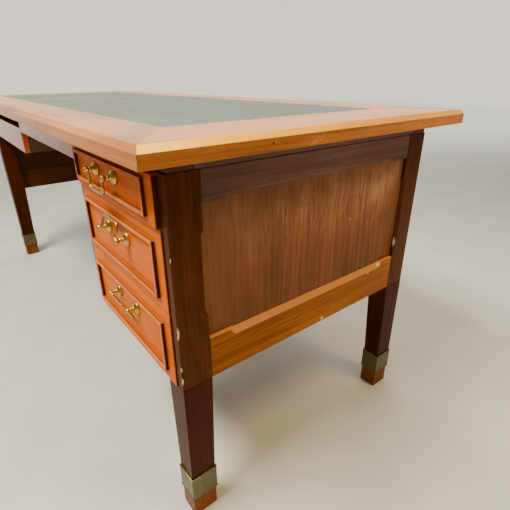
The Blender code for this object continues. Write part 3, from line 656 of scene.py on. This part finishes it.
# %% [markdown]
# ## Old brass
# Brass that is handled stays bright on its high places and turns brown in the hollows. Slow noise gives the
# patches of tarnish, fine noise gives the hairline scratches, and the rounded-edge mask keeps the edges bright.


# %% Old brass
def brass_finish(name, bright, tarnish, amount):
    finish = Finish(name)
    patches = finish.noise(48.0, detail=5.0, roughness=0.65).step(0.38, 0.66)
    specks = finish.noise(420.0, detail=2.0).step(0.60, 0.72)
    scratches = finish.noise(260.0, (1.0, 0.2, 0.35), 4.0, 0.7)
    normal, edge = finish.rounded(0.0008)
    dulled = (patches * amount + specks * 0.3).least(1.0) * (1 - edge * 0.7)
    colour = finish.mix(bright, tarnish, dulled)
    roughness = 0.26 + dulled * 0.22 + (scratches - 0.5) * 0.14
    return finish.shade(colour, roughness, scratches - specks * 0.5, normal, 0.00012, 0.3, Metallic=1.0)


handle_brass = brass_finish("handle_brass", tone(208, 166, 82), tone(132, 98, 42), 0.55)
band_brass = brass_finish("band_brass", tone(95, 91, 66), tone(92, 78, 38), 0.5)
print("brass made")

# %% [markdown]
# ## Dress the boards
# Each board of the frame has the right shape already, so it only needs its own wood. The grain follows the
# length of each board: along the rails, up the stiles and legs, and along the mitred border.

# %% Dress the boards
board_finishes = {
    border_long: ("top_border_front", "top_border_rear"),
    border_end: ("top_border_left", "top_border_right"),
    green_leather: ("leather_inset",),
    stile_wood: ("right_front_stile", "right_rear_stile", "pedestal_inner_side"),
    top_rail_wood: ("right_top_rail", "left_top_rail"),
    rail_wood: ("right_bottom_rail",),
    left_rail_wood: ("left_bottom_rail",),
    panel_wood: ("right_end_panel", "pedestal_back"),
    left_panel_wood: ("left_end_panel",),
    leg_wood: ("right_front_leg", "right_rear_leg", "left_front_leg", "left_rear_leg"),
    front_wood: ("bottom_drawer_front", "middle_drawer_front", "top_drawer_front"),
    apron_wood: ("front_apron", "pen_drawer_front"),
    dark_apron_wood: ("rear_apron",),
    subframe_long: ("subframe_front", "subframe_rear"),
    subframe_end: ("subframe_left", "subframe_right", "pen_runner_left", "pen_runner_right"),
    inside_long: (
        "bottom_drawer_box",
        "middle_drawer_box",
        "top_drawer_box",
        "runner_middle_left",
        "runner_middle_right",
        "runner_top_left",
        "runner_top_right",
    ),
    inside_wide: (
        "top_core_board",
        "pedestal_bottom",
        "pen_drawer_tray",
        "bottom_drawer_base",
        "middle_drawer_base",
        "top_drawer_base",
    ),
}
for finish_material, boards in board_finishes.items():
    for board in boards:
        for material_slot in nodes[board].material_slots:
            material_slot.material = finish_material
print("boards dressed", sum(len(boards) for boards in board_finishes.values()))

# %% [markdown]
# ## Working on one piece
# Edit-mode operators act on whatever is selected. So each piece starts with nothing selected, and its faces are
# then picked in code by where they are and which way they look. A finished piece keeps its place in its mesh,
# smooths only its soft edges, and rides on its body of the desk.


# %% Working on one piece
def begin():
    if bpy.context.object and bpy.context.object.mode != "OBJECT":
        bpy.ops.object.mode_set(mode="OBJECT")
    bpy.ops.object.select_all(action="DESELECT")


def edit(piece):
    bpy.context.view_layer.objects.active = piece
    bpy.ops.object.mode_set(mode="EDIT")
    bpy.ops.mesh.select_mode(type="FACE")


def pick(piece, wanted):
    """Selects the faces whose centre and normal pass a test."""
    shape = bmesh.from_edit_mesh(piece.data)
    for face in shape.faces:
        face.select_set(bool(wanted(face.calc_center_median(), face.normal)))
    shape.select_flush_mode()
    bmesh.update_edit_mesh(piece.data)


def settle(piece, name, body, finish_material, slot, angle, *replaced):
    """Ends a piece: normals outwards, soft edges smooth, place in its mesh, finish on, riding on its body."""
    bpy.context.view_layer.objects.active = piece
    if piece.mode != "EDIT":
        bpy.ops.object.mode_set(mode="EDIT")
    bpy.ops.mesh.select_all(action="SELECT")
    bpy.ops.mesh.normals_make_consistent(inside=False)
    bpy.ops.object.mode_set(mode="OBJECT")
    bpy.ops.object.select_all(action="DESELECT")
    piece.select_set(True)
    bpy.ops.object.transform_apply(location=True, rotation=True, scale=True)
    bpy.ops.object.shade_smooth_by_angle(angle=math.radians(angle))
    piece.name = name
    piece.data.materials.clear()
    piece.data.materials.append(finish_material)
    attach(piece, body)
    if replaced:
        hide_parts(*replaced)
    shape = bmesh.new()
    shape.from_mesh(piece.data)
    loose = sum(not joined.is_manifold for joined in shape.edges)
    shape.free()
    print(name, len(piece.data.polygons), "faces,", loose, "open edges")
    return piece


# %% [markdown]
# ## Drawer mouldings
# A raised moulding is pinned round each drawer front, mitred at its corners. It stands up square, and a fine
# groove parts its narrow outer flat from the wider inner one. Insetting the face of a plate and moving it up or
# down at each inset draws that section all the way round and mitres the corners by itself. The middle is then
# opened through to the back.

# %% Drawer mouldings
# Each step of the section goes inwards by the first number and forwards by the second, in millimetres.
MOULDING_SECTION = (
    (0.25, 0.3),
    (2.5, 0.0),
    (0.15, -0.9),
    (0.5, 0.0),
    (0.15, 0.9),
    (2.9, 0.0),
    (0.25, -0.3),
    (0.1, -5.9),
)
MOULDING_START = 6.2 / 1000  # thickness of the plate before the section is drawn


def moulding(level):
    node = f"{level}_drawer_moulding"
    low, high = (Vector(corner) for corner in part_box(node))
    back = high.y
    begin()
    bpy.ops.mesh.primitive_cube_add(
        size=1.0, location=((low.x + high.x) / 2, back - MOULDING_START / 2, (low.z + high.z) / 2)
    )
    piece = bpy.context.object
    piece.scale = (high.x - low.x, MOULDING_START, high.z - low.z)
    bpy.ops.object.transform_apply(location=True, rotation=True, scale=True)
    edit(piece)
    pick(piece, lambda centre, normal: normal.y < -0.9)
    for inwards, forwards in MOULDING_SECTION:
        bpy.ops.mesh.inset(thickness=inwards / 1000, depth=forwards / 1000)
    bpy.ops.mesh.delete(type="ONLY_FACE")
    pick(piece, lambda centre, normal: normal.y > 0.9)
    bpy.ops.mesh.inset(thickness=sum(inwards for inwards, _ in MOULDING_SECTION) / 1000, depth=0.0)
    bpy.ops.mesh.delete(type="ONLY_FACE")
    bpy.ops.mesh.select_mode(type="EDGE")
    bpy.ops.mesh.select_all(action="DESELECT")
    bpy.ops.mesh.select_non_manifold()
    bpy.ops.mesh.bridge_edge_loops()
    return settle(piece, f"{level}_bead", f"{level}_drawer", bead_wood, "drawer_front_wood", 35, node)


for drawer_level in ("bottom", "middle", "top"):
    moulding(drawer_level)

# %% [markdown]
# ## Handle posts
# Each post is turned from one piece of brass: a flared bell that sits on the drawer front, a waisted neck with a
# ring, and a ball that holds the end of the bail. Turning is drawn by extruding a disc step by step away from
# the front and scaling each new ring to the radius of the turning there.

# %% Handle posts
BALL_RADIUS = 5.2
ROSETTE_RADIUS = 13.5
BELL = (
    (1.0, 13.5),
    (1.7, 13.6),
    (2.7, 13.1),
    (4.0, 12.1),
    (5.2, 10.5),
    (6.2, 8.5),
    (7.0, 6.5),
    (7.6, 5.2),
    (8.6, 4.5),
    (9.8, 4.3),
    (10.5, 4.4),
    (11.0, 5.2),
    (11.8, 5.3),
    (12.4, 4.4),
)


def turning(standoff):
    """The post's section as distance from the front and radius, in millimetres, ending in a round ball."""
    ball = []
    for degrees in range(140, 0, -15):
        angle = math.radians(degrees)
        ball.append((standoff + BALL_RADIUS * math.cos(angle), BALL_RADIUS * math.sin(angle)))
    return [step for step in BELL if step[0] < ball[0][0]] + ball + [(standoff + BALL_RADIUS, 0.35)]


def handle_post(level, side):
    node = f"{level}_post_{side}"
    low, high = (Vector(corner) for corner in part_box(node))
    centre = (low + high) / 2
    pivot = joints[f"{level}_handle_swing"]["pos_m"]
    front = high.y
    begin()
    bpy.ops.mesh.primitive_circle_add(
        vertices=36,
        radius=ROSETTE_RADIUS / 1000,
        fill_type="NGON",
        location=(centre.x, front, centre.z),
        rotation=(math.pi / 2, 0, 0),
    )
    piece = bpy.context.object
    bpy.ops.object.transform_apply(location=True, rotation=True, scale=True)
    edit(piece)
    bpy.ops.mesh.select_all(action="SELECT")
    distance, radius = 0.0, ROSETTE_RADIUS
    for next_distance, next_radius in turning((front - pivot[1]) * 1000):
        step = (0, -(next_distance - distance) / 1000, 0)
        bpy.ops.mesh.extrude_region_move(TRANSFORM_OT_translate={"value": step})
        share = next_radius / radius
        bpy.ops.transform.resize(
            value=(share, 1.0, share), center_override=(centre.x, front - next_distance / 1000, centre.z)
        )
        distance, radius = next_distance, next_radius
    return settle(piece, f"{level}_turned_post_{side}", f"{level}_drawer", handle_brass, "aged_brass", 50, node)


for drawer_level in ("bottom", "middle", "top"):
    for post_side in ("left", "right"):
        handle_post(drawer_level, post_side)

# %% [markdown]
# ## Swinging bails
# The bail is cast in a swan-neck: from each ball it turns down through a soft curve, narrows a little, rounds
# the corner and swells in the middle of the grip. A curve with a radius at each point gives that changing
# thickness. It is drawn hanging. The middle one is then turned up to lean on its moulding and the bottom one is
# pushed in against its drawer, as a hand leaves them.

# %% Swinging bails
# Half of the bail, from the ball to the middle of the grip: across, down and radius, in millimetres.
HALF_BAIL = (
    (43.0, 0.0, 2.7),
    (39.5, -0.1, 2.7),
    (36.9, 0.6, 2.8),
    (34.9, 2.6, 2.8),
    (33.9, 6.0, 2.8),
    (33.9, 10.5, 2.7),
    (34.7, 15.5, 2.6),
    (34.9, 20.0, 2.6),
    (34.0, 24.2, 2.6),
    (31.6, 28.0, 2.7),
    (28.0, 29.5, 2.9),
    (22.0, 30.1, 3.1),
    (11.0, 30.2, 3.3),
)
GRIP_RADIUS = 3.35
RAISED = {"bottom": -26.0, "middle": 197.0, "top": 0.0}


def bail(level):
    pivot = Vector(joints[f"{level}_handle_swing"]["pos_m"])
    half = [(across / 1000, -down / 1000, radius / 1000) for across, down, radius in HALF_BAIL]
    points = [(-across, rise, radius) for across, rise, radius in half]
    points.append((0.0, half[-1][1], GRIP_RADIUS / 1000))
    points += reversed(half)
    begin()
    bpy.ops.curve.primitive_nurbs_path_add(location=pivot)
    rod = bpy.context.object
    rod.data.splines.clear()
    spline = rod.data.splines.new("NURBS")
    spline.points.add(len(points) - 1)
    for point, (across, rise, radius) in zip(spline.points, points):
        point.co = (across, 0, rise, 1)
        point.radius = radius * 1000
    spline.order_u = 3
    spline.use_endpoint_u = True
    spline.resolution_u = 4
    rod.data.bevel_depth = 0.001
    rod.data.bevel_resolution = 5
    rod.data.use_fill_caps = True
    rod.rotation_euler = (-math.radians(RAISED[level]), 0, 0)
    bpy.ops.object.convert(target="MESH")
    piece = bpy.context.object
    edit(piece)
    bpy.ops.mesh.select_all(action="SELECT")
    bpy.ops.mesh.remove_doubles(threshold=0.00001)
    node = f"{level}_bail"
    return settle(piece, f"{level}_swan_bail", f"{level}_handle", handle_brass, "aged_brass", 50, node)


for drawer_level in ("bottom", "middle", "top"):
    bail(drawer_level)

# %% [markdown]
# ## Brass bands
# A strip of brass is wrapped round each leg above the foot, with a narrow lip rolled over at its top and bottom.
# The plain band is copied, cut across near both ends, and the outer faces of those two strips are inset and
# raised together to make the lips.

# %% Brass bands
LIP_HEIGHT = 0.0035
LIP_PROUD = 0.0006


def brass_band(corner):
    node = f"{corner}_band"
    low, high = (Vector(edge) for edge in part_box(node))
    centre = (low + high) / 2
    begin()
    piece = bpy.data.objects.new(f"{corner}_lipped_band", nodes[node].data.copy())
    bpy.context.scene.collection.objects.link(piece)
    edit(piece)
    bpy.ops.mesh.select_all(action="SELECT")
    bpy.ops.mesh.remove_doubles(threshold=0.00002)
    bpy.ops.mesh.tris_convert_to_quads()
    for level in (low.z + LIP_HEIGHT, high.z - LIP_HEIGHT):
        bpy.ops.mesh.select_all(action="SELECT")
        bpy.ops.mesh.bisect(plane_co=(0, 0, level), plane_no=(0, 0, 1))

    def on_lip(middle, normal):
        outwards = normal.x * (middle.x - centre.x) + normal.y * (middle.y - centre.y)
        near_end = middle.z < low.z + LIP_HEIGHT or middle.z > high.z - LIP_HEIGHT
        return abs(normal.z) < 0.1 and outwards > 0 and near_end

    pick(piece, on_lip)
    bpy.ops.mesh.inset(thickness=0.0004, depth=LIP_PROUD, use_even_offset=True)
    return settle(piece, f"{corner}_lipped_band", "desk", band_brass, "aged_brass", 30, node)


for leg_corner in ("right_front", "right_rear", "left_front", "left_rear"):
    brass_band(leg_corner)

# %% [markdown]
# ## Floor finish
# The floor is a matt pale sheet. It only has to catch the shadow and stay out of the way, so it has a faint
# mottle.
# Beyond the desk it glows, a painted light that brightens it into the pale room instead of ending in a hard line.


# %% Floor finish
GLOW_FROM, GLOW_TO = 1.2, 6.0


def floor_finish():
    finish = Finish("pale_floor")
    mottle = finish.noise(6.0, detail=3.0)
    colour = mottle.ramp((0.3, tone(176, 177, 174)), (0.7, tone(186, 187, 184)))
    flat_normal = finish.node("ShaderNodeNewGeometry", {}, {}, "Normal")
    across, along, _ = finish.axes()
    # painted light: the floor glows beyond the desk, more the farther away it lies
    beyond_desk = (along * BEYOND[1] + across * BEYOND[0]).step(GLOW_FROM, GLOW_TO)
    painted_glow = finish.mix((0.0, 0.0, 0.0), (0.80, 0.78, 0.72), beyond_desk)
    finish.join(finish.shader.inputs["Emission Color"], painted_glow)
    return finish.shade(colour, mottle * 0.1 + 0.75, mottle, flat_normal, 0.0005, 0.1, Emission_Strength=1.0)


floor.data.materials.append(floor_finish())
print("floor done")

# %% [markdown]
# ## Close
# The last step returns to object mode and selects nothing.

# %% Close
begin()
